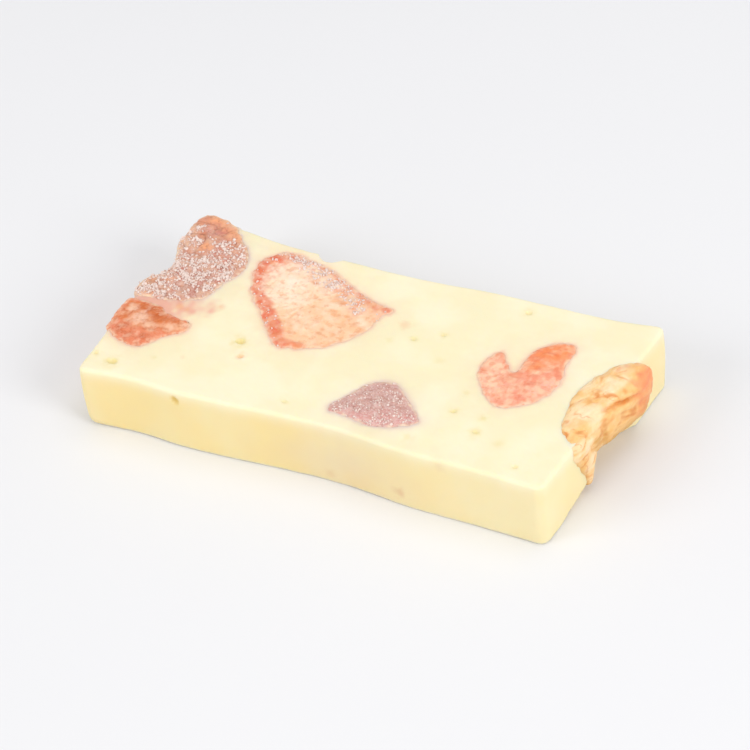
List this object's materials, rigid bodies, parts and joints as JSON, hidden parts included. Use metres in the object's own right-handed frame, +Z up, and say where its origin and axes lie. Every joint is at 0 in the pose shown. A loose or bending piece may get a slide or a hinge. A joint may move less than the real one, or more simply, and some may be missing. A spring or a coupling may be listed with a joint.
{
  "type": "nougat bar with dried fruit",
  "caption": "Thin knife-cut bar of soft cream-white nougat that lies flat, with dried strawberry and cranberry cut through in it and a folded strawberry slice at one end.",
  "frame": {"origin": "middle of the underside of the whole bar's box", "axes": "+X along the bar towards the end with the folded strawberry, +Y across it towards the hollow back edge, +Z up out of the broad cut face that shows"},
  "size_m": [0.0706, 0.035, 0.0103],
  "materials": {
    "nougat": "soft, satin, slightly translucent cream-white milk nougat with faint knife drag",
    "dusted_cranberry": "wrinkled dried cranberry, greyish mauve under pale sugar and milk powder grains, red at its ends",
    "small_cranberry": "cut dried cranberry, dusty mauve with fine pale grains",
    "dark_strawberry": "cut dried strawberry, brick red with a pale heart",
    "strawberry_slice": "freeze-dried strawberry slice, fibrous peach inside, coral red rim, dusty along one side",
    "coral_strawberry": "cut dried strawberry, even coral with a fine grain",
    "folded_strawberry": "folded, slightly translucent pale orange strawberry slice with a red rim"
  },
  "bodies": {
    "root": {"nougat": "nougat", "cranberry_corner": "dusted_cranberry", "cranberry_small": "small_cranberry", "strawberry_left": "dark_strawberry", "strawberry_slice": "strawberry_slice", "strawberry_notched": "coral_strawberry", "strawberry_end": "folded_strawberry"}
  },
  "joints": []
}
